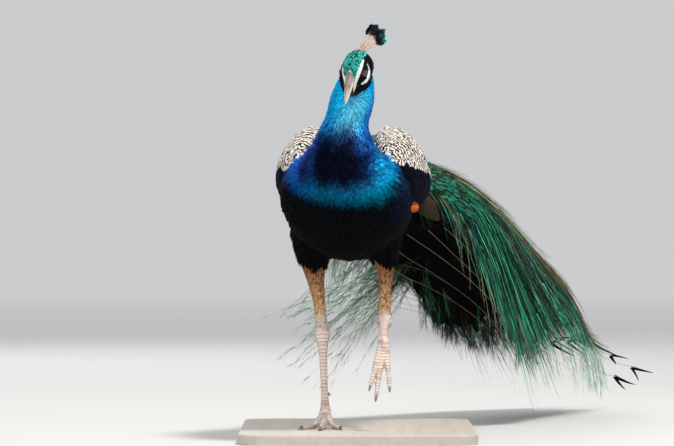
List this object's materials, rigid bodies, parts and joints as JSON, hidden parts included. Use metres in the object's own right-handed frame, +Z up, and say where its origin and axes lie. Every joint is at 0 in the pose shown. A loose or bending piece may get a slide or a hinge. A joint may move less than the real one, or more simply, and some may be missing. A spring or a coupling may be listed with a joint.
{
  "type": "peafowl model",
  "caption": "Life-size still model of a walking male Indian peafowl on a flat base, with a foot lifted, head bent down, long train trailing to one side.",
  "frame": {"origin": "on the flat underside of the base, beside and a little ahead of the standing foot", "axes": "+Z up, -Y the way the bird walks, +X towards the bird's left side"},
  "size_m": [0.7871, 1.5126, 0.7013],
  "materials": {
    "blue_feather": "satin",
    "crown_feather": "satin",
    "crest_feather": "satin",
    "barred_feather": "matte",
    "chestnut_feather": "matte",
    "leg_feather": "matte",
    "train_feather": "satin",
    "tail_feather": "matte",
    "scaled_skin": "satin",
    "claw_horn": "satin",
    "bill_horn": "satin",
    "glass_eye": "gloss",
    "base_board": "matte"
  },
  "bodies": {
    "root": {"bill_lower": "bill_horn", "bill_upper": "bill_horn", "claw_left_hind": "claw_horn", "claw_left_inner": "claw_horn", "claw_left_middle": "claw_horn", "claw_left_outer": "claw_horn", "claw_right_hind": "claw_horn", "claw_right_inner": "claw_horn", "claw_right_middle": "claw_horn", "claw_right_outer": "claw_horn", "crest": "crest_feather", "eye_left": "glass_eye", "eye_right": "glass_eye", "foot_left": "scaled_skin", "foot_right": "scaled_skin", "head": "crown_feather", "neck": "blue_feather", "spur_left": "claw_horn", "spur_right": "claw_horn", "stand_base": "base_board", "tail": "tail_feather", "tarsus_left": "scaled_skin", "tarsus_right": "scaled_skin", "thigh_left": "leg_feather", "thigh_right": "leg_feather", "train_centre": "train_feather", "train_left_side": "train_feather", "train_left_top": "train_feather", "train_right_side": "train_feather", "train_right_top": "train_feather", "trunk": "blue_feather", "wing_left": "barred_feather", "wing_left_primaries": "chestnut_feather", "wing_right": "barred_feather", "wing_right_primaries": "chestnut_feather"}
  },
  "joints": []
}
